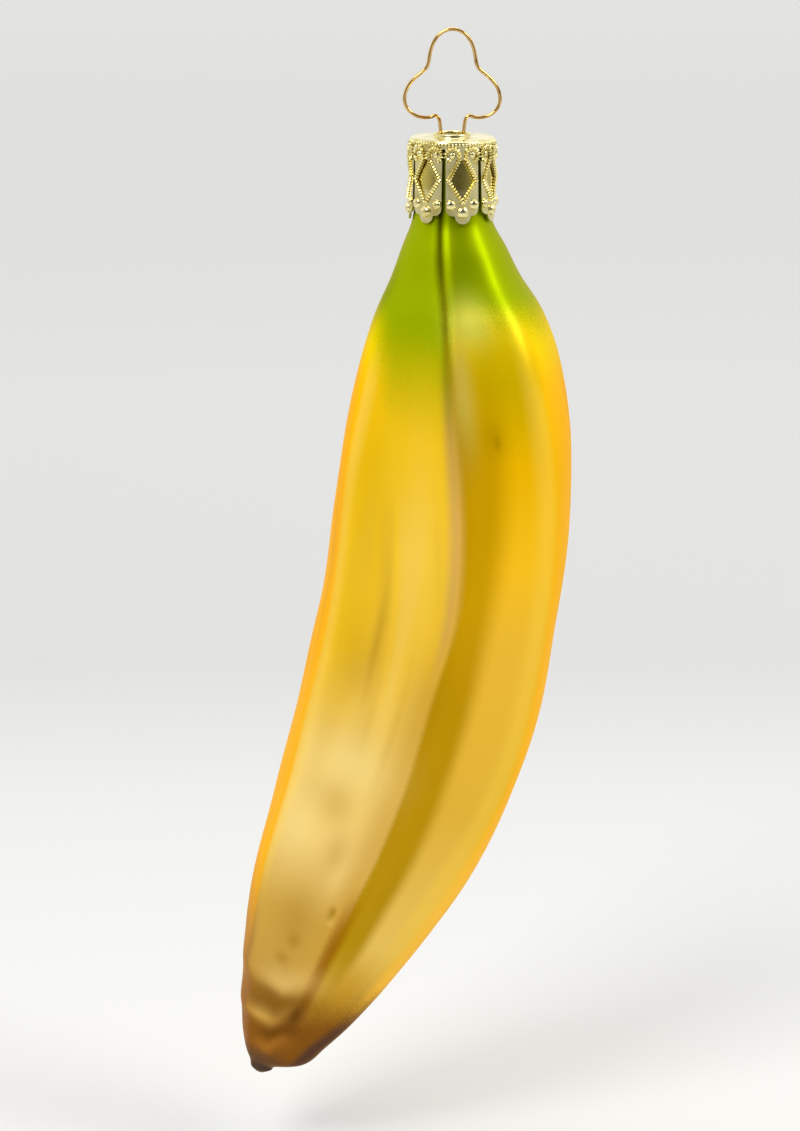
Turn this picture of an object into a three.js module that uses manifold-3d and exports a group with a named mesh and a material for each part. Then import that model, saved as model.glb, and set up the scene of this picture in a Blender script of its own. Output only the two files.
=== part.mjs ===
// A blown-glass hanging ornament in the shape of a banana. A hollow glass body with an open neck, a stamped
// metal cap over the neck, and a sprung wire hanger that goes through the cap and stands in the neck.
// Millimetres, +Z up, the front towards -Y. The origin is the point inside the top of the wire loop that
// a hook bears on, so the ornament hangs below it.
import * as THREE from "three";
import { mergeVertices } from "three/addons/utils/BufferGeometryUtils.js";
import Module from "manifold-3d";

const wasm = await Module();
wasm.setup();

// Driving dimensions of the glass
const WALL = 1.0;
const NECK_RADIUS = 5.3;
const NECK_TOP = -16.2;
const BODY_DEPTH_RATIO = 0.95;
const RIDGE_ROUNDING_DEG = 10;
const RIDGES_BEGIN = -24;
const RIDGES_FULL = -48;
const RIDGES_FADE = -148;
const RIDGES_END = -159;
const NECK_TWIST_DEG = -10;
const BODY_TWIST_DEG = 6;
const TWIST_BEGIN = -30;
const TWIST_END = -85;
const HOLLOW_SHARE = 0.82;
const FACE_STEPS = 7;
const GLASS_RINGS = 46;
const HOLLOW_RINGS = 22;

// The ridges round the body, from the front one, each with the flatness of the face that follows it.
const RIDGES = [
  { deg: 0, flatness: 0.85 },
  { deg: 47, flatness: 0.3 },
  { deg: 128, flatness: 0.6 },
  { deg: 235, flatness: 0.35 },
  { deg: 298, flatness: 0.85 },
];

// Ribs across the body from the neck's top down to the tip: the middle, the width, and the degrees by which
// the right end dips below the left end.
const RIBS = [
  { x: 0, z: NECK_TOP, width: 2 * NECK_RADIUS, dip: 0 },
  { x: 0, z: -22.5, width: 2 * NECK_RADIUS, dip: 0 },
  { x: 0, z: -27.6, width: 11.7, dip: 0 },
  { x: 0.3, z: -31.8, width: 15.4, dip: 0 },
  { x: 0.6, z: -36.2, width: 19.2, dip: 0 },
  { x: 1.1, z: -42, width: 25.3, dip: 0 },
  { x: 1.3, z: -49.5, width: 30.1, dip: 1 },
  { x: 1, z: -60, width: 33.8, dip: 3 },
  { x: 0.1, z: -72, width: 35.2, dip: 6 },
  { x: -1.6, z: -85, width: 35.4, dip: 9 },
  { x: -4.1, z: -98, width: 35.8, dip: 14 },
  { x: -7.5, z: -110, width: 34.8, dip: 18 },
  { x: -11.6, z: -121, width: 32.4, dip: 21 },
  { x: -15.9, z: -130.4, width: 29.1, dip: 23 },
  { x: -19.8, z: -139, width: 24.4, dip: 24 },
  { x: -23, z: -146.7, width: 19.2, dip: 24 },
  { x: -25.4, z: -152.6, width: 14.2, dip: 22 },
  { x: -26.7, z: -156.5, width: 10, dip: 18 },
  { x: -28.6, z: -158.1, width: 4.4, dip: 16 },
  { x: -29, z: -159, width: 3.2, dip: 14 },
  { x: -29.2, z: -159.6, width: 1.3, dip: 14 },
];

// Driving dimensions of the cap
const CAP_TOP = -15.5;
const CAP_SHEET = 0.35;
const CAP_RIM_RADIUS = 6.2;
const CAP_RIM_HEIGHT = 1.1;
const SKIRT_RADIUS_TOP = 6.15;
const SKIRT_RADIUS_BOTTOM = 6.45;
const TAB_COUNT = 7;
const TAB_TURN_DEG = 13.7;
const SLIT_WIDTH = 0.55;
const TAB_CORNER = -25.7;
const TAB_SIDE_BOTTOM = -26.4;
const TAB_TIP = -27.6;
const HOLE_RADIUS = 2.35;
const COLLAR_SHEET = 0.4;
const COLLAR_HEIGHT = 0.6;
const SKIRT_STEPS = TAB_COUNT * 4;

// Relief on each tab: places are [across the tab, z]
const SIDE_BEAD = { across: 1.75, z: -24.8, radius: 0.78 };
const MIDDLE_BEAD = { across: 0, z: -25.9, radius: 0.88 };
const EYE_BEAD = { across: 1.47, z: -17.5, radius: 0.5 };
const ROPE_RADIUS = 0.32;
const ROPE_SIDES = 4;
const DIAMOND_BOTTOM = [0.1, -24.4];
const DIAMOND_SIDE = [2.1, -21.25];
const DIAMOND_TOP = [0.55, -18.2];
const SCROLL_RADIUS = 1.0;
const SCROLL_SWEEP = 1.35 * Math.PI;
const SCROLL_STEPS = 6;
const BEAD_SIDES = 8;
const BEAD_STEPS = 2;

// Driving dimensions of the wire
const WIRE_DIAMETER = 0.55;
const LOOP_RADIUS = 6.0;
const LOOP_LOBING = 0.28;
const LOOP_LOBES = 3;
const LOOP_OPEN_DEG = 25;
const LOOP_STEPS = 26;
const WIRE_SIDES = 8;
const WIRE_STEPS = 112;

// The right leg's bends as [x, z], from the collar down into the neck
const LEG_BENDS = [[1.75, -14.1], [1.75, -15.8], [2, -17.7], [4.1, -29], [4.1, -30.6], [3.5, -32]];

const { degToRad, smoothstep, lerp } = THREE.MathUtils;

// How far a height has come from one height down to a lower one, eased from 0 to 1.
function between(z, from, to) {
  return smoothstep(-z, -from, -to);
}

// A closed geometry as a solid that can be joined and cut.
function solidOf(geometry) {
  const bare = geometry.clone();
  bare.deleteAttribute("normal");
  bare.deleteAttribute("uv");
  const merged = mergeVertices(bare, 1e-4);
  return new wasm.Manifold(
    new wasm.Mesh({
      numProp: 3,
      vertProperties: merged.attributes.position.array,
      triVerts: new Uint32Array(merged.index.array),
    }),
  );
}

// A solid back as a geometry, shaded flat.
function geometryOf(solid) {
  const { vertProperties, triVerts } = solid.getMesh();
  const indexed = new THREE.BufferGeometry();
  indexed.setAttribute("position", new THREE.BufferAttribute(vertProperties, 3));
  indexed.setIndex(new THREE.BufferAttribute(triVerts, 1));
  const flat = indexed.toNonIndexed();
  flat.computeVertexNormals();
  return flat;
}

// A closed surface through rings of points, which run from the top down, with a fan over each end.
function loft(rings) {
  const count = rings[0].length;
  const middle = (ring) => ring.reduce((sum, p) => sum.add(p), new THREE.Vector3()).divideScalar(count);
  const points = [...rings.flat(), middle(rings[0]), middle(rings.at(-1))];
  const top = rings.length * count;
  const bottom = top + 1;
  const faces = [];
  for (let i = 0; i < count; i += 1) {
    const j = (i + 1) % count;
    const last = (rings.length - 1) * count;
    faces.push(top, i, j, bottom, last + j, last + i);
    for (let row = 0; row < last; row += count) {
      faces.push(row + i, row + count + i, row + j, row + j, row + count + i, row + count + j);
    }
  }
  const geometry = new THREE.BufferGeometry().setFromPoints(points);
  geometry.setIndex(faces);
  return geometry;
}

// The glass section's radius at an angle between two ridges, with the faces flattened towards the chord.
function sectionRadius(fromRidge, faceAngle, flatness) {
  const half = faceAngle / 2;
  const rounding = degToRad(RIDGE_ROUNDING_DEG);
  const soften = (angle) => Math.hypot(angle, rounding) - rounding;
  const softened = (soften(fromRidge) * half) / soften(half);
  return 1 - flatness * (1 - Math.cos(half) / Math.cos(half - softened));
}

// One ridged section as [across, depth] pairs, with across scaled to run from -1 to 1.
function section(ridged, twist) {
  const pairs = [];
  RIDGES.forEach(({ deg, flatness }, k) => {
    const next = RIDGES[k + 1]?.deg ?? RIDGES[0].deg + 360;
    const faceAngle = degToRad(next - deg);
    for (let step = 0; step < FACE_STEPS; step += 1) {
      const angle = (faceAngle * step) / FACE_STEPS;
      const radius = sectionRadius(Math.min(angle, faceAngle - angle), faceAngle, flatness * ridged);
      const turned = degToRad(deg) + angle + twist;
      pairs.push([radius * Math.sin(turned), -radius * Math.cos(turned)]);
    }
  });
  const across = pairs.map(([x]) => x);
  const low = Math.min(...across);
  const high = Math.max(...across);
  const scale = 2 / (high - low);
  return pairs.map(([x, y]) => [(x - low) * scale - 1, y * scale]);
}

// The curve through the ribs' ends on one side, -1 for the left and 1 for the right.
function edgeCurve(side) {
  return new THREE.SplineCurve(RIBS.map(({ x, z, width, dip }) => {
    const reach = (side * width) / 2;
    return new THREE.Vector2(x + reach * Math.cos(degToRad(dip)), z - reach * Math.sin(degToRad(dip)));
  }));
}

const leftCurve = edgeCurve(-1);
const rightCurve = edgeCurve(1);

// The ring of points round the glass at a place from 0, the neck's top, to 1, the tip, taken in by an inset.
function glassRing(place, inset) {
  const left = leftCurve.getPoint(place);
  const right = rightCurve.getPoint(place);
  const middle = left.clone().add(right).divideScalar(2);
  const half = left.distanceTo(right) / 2 - inset;
  const along = right.clone().sub(left).normalize();
  const fading = between(middle.y, RIDGES_FADE, RIDGES_END);
  const ridged = between(middle.y, RIDGES_BEGIN, RIDGES_FULL) * (1 - fading);
  const twist = degToRad(lerp(NECK_TWIST_DEG, BODY_TWIST_DEG, between(middle.y, TWIST_BEGIN, TWIST_END)));
  const depth = half * lerp(1, BODY_DEPTH_RATIO, ridged);
  return section(ridged, twist).map(([across, deep]) => new THREE.Vector3(
    middle.x + along.x * half * across,
    depth * deep,
    middle.y + along.y * half * across,
  ));
}

// The blown glass: the ridged body less its hollow, which opens upwards through the neck.
function makeGlass() {
  const places = (count, last) => Array.from({ length: count }, (_, k) => (last * k) / (count - 1));
  const outer = loft(places(GLASS_RINGS, 1).map((place) => glassRing(place, 0)));
  const hollowRings = places(HOLLOW_RINGS, HOLLOW_SHARE).map((place) => glassRing(place, WALL));
  const mouth = hollowRings[0].map((p) => p.clone().setZ(NECK_TOP + WALL));
  return geometryOf(solidOf(outer).subtract(solidOf(loft([mouth, ...hollowRings]))));
}

// A solid of revolution about Z from a closed profile of [radius, z] points.
function turned(profile, steps) {
  const points = [...profile, profile[0]].map(([radius, z]) => new THREE.Vector2(radius, z));
  return solidOf(new THREE.LatheGeometry(points, steps).rotateX(Math.PI / 2));
}

// The cap's outer radius at a height of its skirt.
function skirtRadius(z) {
  const share = (CAP_TOP - CAP_RIM_HEIGHT - z) / (CAP_TOP - CAP_RIM_HEIGHT - TAB_TIP);
  return lerp(SKIRT_RADIUS_TOP, SKIRT_RADIUS_BOTTOM, share);
}

// A point on the skirt of the tab that faces the front, from its place across the tab and its height.
function onSkirt([across, z]) {
  const radius = skirtRadius(z);
  const angle = across / radius;
  return new THREE.Vector3(radius * Math.sin(angle), -radius * Math.cos(angle), z);
}

// A wire-like solid of round section along points.
function rod(points, radius, sides, steps) {
  const round = new THREE.Shape().absarc(0, 0, radius, 0, Math.PI * 2);
  return solidOf(new THREE.ExtrudeGeometry(round, {
    steps,
    curveSegments: sides / 2,
    extrudePath: new THREE.CatmullRomCurve3(points, false, "centripetal"),
  }));
}

// The scalloped outline of one tab, as a block that cuts it from the skirt.
function tabBlock() {
  const half = SKIRT_RADIUS_BOTTOM * Math.sin(Math.PI / TAB_COUNT) - SLIT_WIDTH / 2;
  const corner = TAB_CORNER - TAB_SIDE_BOTTOM;
  const lobe = TAB_SIDE_BOTTOM - TAB_TIP;
  const outline = new THREE.Shape();
  outline.moveTo(-half, CAP_TOP - CAP_RIM_HEIGHT / 2);
  outline.lineTo(-half, TAB_CORNER);
  outline.absarc(-half + corner, TAB_CORNER, corner, Math.PI, Math.PI * 1.5);
  outline.absarc(0, TAB_SIDE_BOTTOM, lobe, Math.PI, Math.PI * 2);
  outline.absarc(half - corner, TAB_CORNER, corner, -Math.PI / 2, 0);
  outline.lineTo(half, CAP_TOP - CAP_RIM_HEIGHT / 2);
  const reach = SKIRT_RADIUS_BOTTOM + 1;
  const block = new THREE.ExtrudeGeometry(outline, { depth: reach, bevelEnabled: false, curveSegments: 2 });
  return solidOf(block.rotateX(Math.PI / 2));
}

// A domed bead on the front tab, with its base sunk into the sheet.
function bead({ across, z, radius }) {
  const arc = Array.from({ length: BEAD_STEPS + 1 }, (_, k) => {
    const angle = (k * Math.PI) / 2 / BEAD_STEPS;
    return new THREE.Vector2(radius * Math.cos(angle), radius * Math.sin(angle));
  });
  arc[BEAD_STEPS].x = 0;
  const dome = new THREE.LatheGeometry([new THREE.Vector2(0, 0), ...arc], BEAD_SIDES);
  const foot = onSkirt([across, z]);
  const outward = new THREE.Vector3(foot.x, foot.y, 0).normalize();
  const upright = new THREE.Quaternion().setFromUnitVectors(new THREE.Vector3(0, 1, 0), outward);
  dome.translate(0, -CAP_SHEET / 2, 0).applyQuaternion(upright).translate(foot.x, foot.y, foot.z);
  return solidOf(dome);
}

// One side of the tab's relief: half of the diamond, which runs up into a scroll round its eye.
function reliefSide(side) {
  const scroll = Array.from({ length: SCROLL_STEPS + 1 }, (_, k) => {
    const angle = Math.PI - (k * SCROLL_SWEEP) / SCROLL_STEPS;
    return [EYE_BEAD.across + SCROLL_RADIUS * Math.cos(angle), EYE_BEAD.z + SCROLL_RADIUS * Math.sin(angle)];
  });
  const rope = (places, steps) => {
    const points = places.map(([across, z]) => onSkirt([side * across, z]));
    return rod(points, ROPE_RADIUS, ROPE_SIDES, steps);
  };
  return [
    rope([DIAMOND_BOTTOM, DIAMOND_SIDE], 1),
    rope([DIAMOND_SIDE, DIAMOND_TOP], 1),
    rope([DIAMOND_TOP, ...scroll], SCROLL_STEPS + 1),
    bead({ ...EYE_BEAD, across: side * EYE_BEAD.across }),
    bead({ ...SIDE_BEAD, across: side * SIDE_BEAD.across }),
  ];
}

// The stamped cap: a holed and collared top, and a skirt slit into scalloped tabs with raised relief.
function makeCap() {
  const underside = CAP_TOP - CAP_SHEET;
  const rimBottom = CAP_TOP - CAP_RIM_HEIGHT;
  const collarTop = CAP_TOP + COLLAR_HEIGHT;
  const edge = CAP_SHEET / 2;
  const top = turned([
    [HOLE_RADIUS, collarTop], [HOLE_RADIUS, underside],
    [CAP_RIM_RADIUS - CAP_SHEET, underside], [CAP_RIM_RADIUS - CAP_SHEET, rimBottom],
    [CAP_RIM_RADIUS, rimBottom], [CAP_RIM_RADIUS, CAP_TOP - edge], [CAP_RIM_RADIUS - edge, CAP_TOP],
    [HOLE_RADIUS + COLLAR_SHEET, CAP_TOP], [HOLE_RADIUS + COLLAR_SHEET, collarTop],
  ], SKIRT_STEPS);
  const skirtTop = rimBottom + CAP_SHEET;
  const skirt = turned([
    [skirtRadius(skirtTop) - CAP_SHEET, skirtTop], [skirtRadius(TAB_TIP) - CAP_SHEET, TAB_TIP - 1],
    [skirtRadius(TAB_TIP), TAB_TIP - 1], [skirtRadius(skirtTop), skirtTop],
  ], SKIRT_STEPS);
  const block = tabBlock();
  const relief = wasm.Manifold.union([...reliefSide(-1), ...reliefSide(1), bead(MIDDLE_BEAD)]);
  const tabs = Array.from({ length: TAB_COUNT }, (_, k) => {
    const turn = [0, 0, TAB_TURN_DEG + (360 * k) / TAB_COUNT];
    return skirt.intersect(block.rotate(turn)).add(relief.rotate(turn));
  });
  return geometryOf(wasm.Manifold.union([top, ...tabs]));
}

// The bent wire: a three-lobed loop whose two ends go down through the cap and spread in the neck.
function makeHanger() {
  const centre = WIRE_DIAMETER / 2 - LOOP_RADIUS * (1 + LOOP_LOBING);
  const first = 270 - LOOP_OPEN_DEG;
  const sweep = 360 - 2 * LOOP_OPEN_DEG;
  const loop = Array.from({ length: LOOP_STEPS + 1 }, (_, k) => {
    const angle = degToRad(first - (sweep * k) / LOOP_STEPS);
    const radius = LOOP_RADIUS * (1 + LOOP_LOBING * Math.cos(LOOP_LOBES * (angle - Math.PI / 2)));
    return [radius * Math.cos(angle), centre + radius * Math.sin(angle)];
  });
  const leftLeg = LEG_BENDS.map(([x, z]) => [-x, z]).reverse();
  const path = [...leftLeg, ...loop, ...LEG_BENDS].map(([x, z]) => new THREE.Vector3(x, 0, z));
  return geometryOf(rod(path, WIRE_DIAMETER / 2, WIRE_SIDES, WIRE_STEPS));
}

const satinGlass = new THREE.MeshStandardMaterial({ color: 0xe8b52c, roughness: 0.42, metalness: 0.35 });
const paleGold = new THREE.MeshStandardMaterial({ color: 0xc9bd7c, roughness: 0.25, metalness: 1 });
const goldWire = new THREE.MeshStandardMaterial({ color: 0xc9993f, roughness: 0.2, metalness: 1 });

function named(name, geometry, material) {
  const mesh = new THREE.Mesh(geometry, material);
  mesh.name = name;
  return mesh;
}

const ornament = new THREE.Group();
ornament.name = "glass_banana_ornament";
ornament.add(named("glass_banana", makeGlass(), satinGlass));
ornament.add(named("stamped_cap", makeCap(), paleGold));
ornament.add(named("wire_hanger", makeHanger(), goldWire));

export default ornament;
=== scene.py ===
"""The looks of a hanging blown-glass ornament in the shape of a banana.

The glass is satin and airbrushed, under a stamped pale-gold cap with rope and bead relief, on a polished
wire hanger. Sizes are in millimetres until a mesh is made.
"""
import math

import bmesh
import bpy
import numpy as np
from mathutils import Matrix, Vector


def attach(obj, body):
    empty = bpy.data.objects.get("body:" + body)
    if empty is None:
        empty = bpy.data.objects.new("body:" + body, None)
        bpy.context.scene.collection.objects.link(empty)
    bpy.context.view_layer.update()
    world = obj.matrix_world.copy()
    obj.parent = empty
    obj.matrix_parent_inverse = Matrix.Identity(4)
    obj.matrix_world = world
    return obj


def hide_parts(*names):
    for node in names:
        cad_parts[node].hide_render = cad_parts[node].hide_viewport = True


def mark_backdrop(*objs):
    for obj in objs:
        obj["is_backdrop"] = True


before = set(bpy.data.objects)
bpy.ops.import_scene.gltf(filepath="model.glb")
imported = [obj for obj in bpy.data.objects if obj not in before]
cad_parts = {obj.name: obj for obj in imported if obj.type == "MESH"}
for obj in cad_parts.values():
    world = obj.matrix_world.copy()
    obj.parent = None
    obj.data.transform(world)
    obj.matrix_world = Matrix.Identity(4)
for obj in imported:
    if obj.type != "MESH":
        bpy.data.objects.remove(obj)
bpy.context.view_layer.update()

MM = 0.001

# The glass, with ribs from neck to tip as (middle x, middle z, width, degrees that the right end dips)
WALL = 1.0
NECK_TOP = -16.2
TIP = -159.6
RIBS = [
    (0, NECK_TOP, 10.6, 0),
    (0, -22.5, 10.6, 0),
    (0, -27.6, 11.7, 0),
    (0.3, -31.8, 15.4, 0),
    (0.6, -36.2, 19.2, 0),
    (1.1, -42, 25.3, 0),
    (1.3, -49.5, 30.1, 1),
    (1, -60, 33.8, 3),
    (0.1, -72, 35.2, 6),
    (-1.6, -85, 35.4, 9),
    (-4.1, -98, 35.8, 14),
    (-7.5, -110, 34.8, 18),
    (-11.6, -121, 32.4, 21),
    (-15.9, -130.4, 29.1, 23),
    (-19.8, -139, 24.4, 24),
    (-23, -146.7, 19.2, 24),
    (-25.4, -152.6, 14.2, 22),
    (-26.7, -156.5, 10, 18),
    (-28.6, -158.1, 4.4, 16),
    (-29, -159, 3.2, 14),
    (-29.2, TIP, 1.3, 14),
]
# Ridges as (turn from the front one in degrees, flatness of the face that follows)
RIDGES = [(0, 0.85), (47, 0.3), (128, 0.6), (235, 0.35), (298, 0.85), (360, 0.85)]
RIDGE_ROUNDING = math.radians(10)
RIDGES_BEGIN = 24
RIDGES_FULL = 48
RIDGES_FADE = 148
RIDGES_END = 159
NECK_TWIST = -10
BODY_TWIST = 6
TWIST_BEGIN = 30
TWIST_END = 85
BODY_DEPTH_RATIO = 0.95
# Folds across the left face of the tip as (height, down, width)
TIP_FOLDS = [(0.5, 144.0, 1.7), (-0.6, 147.5, 1.5), (0.45, 150.2, 1.2), (-0.45, 152.4, 1.4)]
RIPPLES_ROUND = 6
SKIN_AROUND = 192
SKIN_ALONG = 340
HOLLOW_ALONG = 50
HOLLOW_SHARE = 0.82
SKIN_SHARP_ANGLE = 50

# The lacquer on the glass
BELL_AT_REACH = 0.082
CLOUD_SCALE = 90
GRAIN_SCALE = 5200
STREAK_SCALE = 0.1
STREAK_STRETCH = (1, 0.22, 1)
BACK_STREAK_SCALE = 6.0
BACK_STREAK_STRETCH = 0.004

# The cap
CAP_TOP = -15.5
CAP_SHEET = 0.35
CAP_RIM_RADIUS = 6.2
CAP_RIM_HEIGHT = 1.1
SKIRT_RADIUS_TOP = 6.15
SKIRT_RADIUS_BOTTOM = 6.45
TAB_COUNT = 7
TAB_TURN = 13.7
SLIT_WIDTH = 0.55
TAB_SIDE_BOTTOM = -26.4
TAB_TIP = -27.6
TAB_CORNER = 1.0
TAB_COLUMNS = 56
TAB_ROWS = 60
HOLE_RADIUS = 2.35
COLLAR_SHEET = 0.4
COLLAR_HEIGHT = 0.6
COLLAR_CURVE = 0.25
RIM_ROUNDING = 0.35
CAP_STEPS = 112
CAP_SHARP_ANGLE = 40
# Beads on a tab as (across, z, radius)
SIDE_BEAD = (1.75, -24.8, 0.78)
MIDDLE_BEAD = (0, -25.9, 0.88)
EYE_BEAD = (1.47, -17.5, 0.5)
BEAD_FLATNESS = 0.62
BEAD_SEGMENTS = 20
BEAD_RINGS = 14
ROPE_RADIUS = 0.38
ROPE_PITCH = 0.44
ROPE_PROUD = 0.16
STRAND_SEGMENTS = 8
STRAND_RINGS = 5
STRAND_FLATNESS = 0.62
# The right half of a tab's diamond as (across, z)
DIAMOND_BOTTOM = (0.1, -24.4)
DIAMOND_SIDE = (2.1, -21.25)
DIAMOND_TOP = (0.55, -18.2)
DIAMOND_PRESS = 0.42
RECESS_DEPTHS = (0.04 * MM, 0.16 * MM)
SCROLL_RADIUS = 1.0
SCROLL_SWEEP = 1.35 * math.pi
SCROLL_STEPS = 22
NOTCH_COUNT = 76
NOTCH_RADIUS = 0.2
NOTCH_DROP = 0.55
NOTCH_STRETCH = 1.4
NOTCH_SEGMENTS = 8
NOTCH_RINGS = 6

# The wire
WIRE_DIAMETER = 0.55
LOOP_RADIUS = 6.0
LOOP_LOBING = 0.28
LOOP_LOBES = 3
LOOP_OPEN = 25
LOOP_POINTS = 40
WIRE_ROUND_STEPS = 4
WIRE_LONG_STEPS = 6
WIRE_SHARP_ANGLE = 60
# Bends of the right leg as (x, z)
LEG_BENDS = [(1.75, -14.1), (1.75, -15.8), (2, -17.7), (4.1, -29), (4.1, -30.6), (3.5, -32)]

# Marks on the metals
TARNISH_AND_SHADE_SCALE = 420
RUBBED_SCALE = 1500

# The view and the room
TARGET = (-7.68, 0, -80.09)
VIEW_DISTANCE = 700
VIEW_ELEVATION = math.radians(12.5)
PIXEL_AT_TARGET = 0.15
FRAME_HEIGHT = 1131
SENSOR = 36
FLOOR_DROP = 12
FLOOR_REACH = 8000
# Tones of the floor at depths in metres, from far in front to far behind; the dark far front is painted shade
FLOOR_TONES = [
    (-5.0, 0.05), (-3.2, 0.6), (-0.1, 0.65), (0.2, 0.65),
    (0.31, 0.6), (0.63, 0.72), (1.7, 0.86),
]
FLOOR_BLUE = 0.98
# Soft lights as (name, place in metres, size in metres, power)
SOFTBOXES = [
    ("key", (-0.3, -0.5, 0.45), 0.3, 3.25),
    ("side", (0.6, -0.25, 0.45), 0.3, 2.3),
    ("top", (0.0, 0.1, 0.7), 0.5, 1.2),
]
# The room's brightness from one facing along Y to another: dim in front and bright behind
ROOM_FACINGS = (-1.0, 0.1)
ROOM_BRIGHTNESS = (0.06, 1.1)


def ease(value, start, stop):
    """How far a value has come from start to stop, eased from 0 to 1."""
    share = np.clip((value - start) / (stop - start), 0, 1)
    return share * share * (3 - 2 * share)


def lerp(a, b, share):
    """The value at a share of the way from a to b."""
    return a + (b - a) * share


def bump(value, middle, width):
    """A soft bell of height 1."""
    return np.exp(-(((value - middle) / width) ** 2))


def along_spline(points, place):
    """The point at a place from 0 to 1 on a smooth curve through points, evenly spaced by point."""
    last = len(points) - 1
    step = min(int(place * last), last - 1)
    share = place * last - step
    before = points[max(step - 1, 0)]
    start = points[step]
    stop = points[step + 1]
    after = points[min(step + 2, last)]
    leave = (stop - before) / 2
    arrive = (after - start) / 2
    cubic = 2 * start - 2 * stop + leave + arrive
    square = -3 * start + 3 * stop - 2 * leave - arrive
    return cubic * share**3 + square * share**2 + leave * share + start


def link(name, data):
    """A new object in the scene that holds a mesh, curve, lamp or camera."""
    piece = bpy.data.objects.new(name, data)
    bpy.context.scene.collection.objects.link(piece)
    return piece


def mesh_of(name, points, faces):
    """A mesh in metres from points in millimetres."""
    mesh = bpy.data.meshes.new(name)
    mesh.from_pydata((np.asarray(points, float) * MM).tolist(), [], faces)
    return mesh


def shade(mesh, sharp_angle):
    """Smooth shading, with the edges past an angle in degrees kept sharp."""
    mesh.polygons.foreach_set("use_smooth", [True] * len(mesh.polygons))
    mesh.set_sharp_from_angle(angle=math.radians(sharp_angle))


def merged(name, meshes):
    """Several meshes as one, with their faces turned outwards."""
    joined = bmesh.new()
    for mesh in meshes:
        joined.from_mesh(mesh)
    bmesh.ops.recalc_face_normals(joined, faces=joined.faces)
    mesh = bpy.data.meshes.new(name)
    joined.to_mesh(mesh)
    joined.free()
    return mesh


# The glass skin
def section_radius(turn, ridged):
    """The section's radius at turns from the front ridge, with the faces flattened towards their chords."""
    radius = np.ones_like(turn)
    for (start, flatness), (stop, _) in zip(RIDGES, RIDGES[1:]):
        half = math.radians(stop - start) / 2
        inside = (turn >= start) & (turn <= stop)
        from_ridge = np.radians(np.minimum(turn - start, stop - turn))
        soft = np.hypot(from_ridge, RIDGE_ROUNDING) - RIDGE_ROUNDING
        soft_half = math.hypot(half, RIDGE_ROUNDING) - RIDGE_ROUNDING
        flat = 1 - flatness * ridged * (1 - math.cos(half) / np.cos(half - soft * half / soft_half))
        radius = np.where(inside, flat, radius)
    return radius


def rib_ends(side):
    """The (x, z) ends of the ribs on one side, -1 for the left and 1 for the right."""
    ends = []
    for x, z, width, dip in RIBS:
        reach = side * width / 2
        lean = math.radians(dip)
        ends.append(np.array([x + reach * math.cos(lean), z - reach * math.sin(lean)]))
    return ends


def glass_ring(place, turns, inset):
    """The ring of points round the glass at a place from 0, the neck's top, to 1, the tip, and its height."""
    left = along_spline(rib_ends(-1), place)
    right = along_spline(rib_ends(1), place)
    middle = (left + right) / 2
    half = np.linalg.norm(right - left) / 2
    across = (right - left) / (2 * half)
    down = -middle[1]
    ridged = ease(down, RIDGES_BEGIN, RIDGES_FULL) * (1 - ease(down, RIDGES_FADE, RIDGES_END))
    twist = lerp(NECK_TWIST, BODY_TWIST, ease(down, TWIST_BEGIN, TWIST_END))
    radius = section_radius(turns % 360, ridged)
    angle = np.radians(turns + twist)
    sideways = radius * np.sin(angle)
    scale = 2 / (sideways.max() - sideways.min())
    sideways = (sideways - sideways.min()) * scale - 1
    depth = (half - inset) * lerp(1, BODY_DEPTH_RATIO, ridged)
    reach = (half - inset) * sideways
    points = np.stack([
        middle[0] + across[0] * reach,
        -depth * scale * radius * np.cos(angle),
        middle[1] + across[1] * reach,
    ], 1)
    return points, down


def relief(turn, down):
    """How far the blown skin stands out from the smooth form, in folds, dents, ripples and a dimple."""
    folds = sum(height * bump(down, at, wide) for height, at, wide in TIP_FOLDS)
    folds = folds * bump(turn, -48, 38)
    dimple = -0.5 * bump(down, 131.2, 0.9) * bump(turn, -14, 2.8)
    crease_turn = -38 + 0.16 * (down - 90)
    crease_height = ease(down, 70, 86) * (1 - ease(down, 98, 110))
    crease = -0.16 * bump(turn, crease_turn, 2.6) * crease_height
    short_wave = np.sin(0.62 * down + 0.05 * turn)
    short_ripple = 0.1 * short_wave * bump(down, 118, 16) * bump(turn, -42, 16)
    long_wave = np.sin(0.31 * down + RIPPLES_ROUND * np.radians(turn) + 1.2)
    long_ripple = 0.07 * long_wave * ease(down, 45, 70) * (1 - ease(down, 140, 150))
    right_dent = -0.22 * bump(turn, 26, 13) * bump(down, 62, 15)
    shoulder = 0.25 * bump(turn, 22, 12) * bump(down, 42, 4)
    return folds + dimple + crease + short_ripple + long_ripple + right_dent + shoulder


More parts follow.
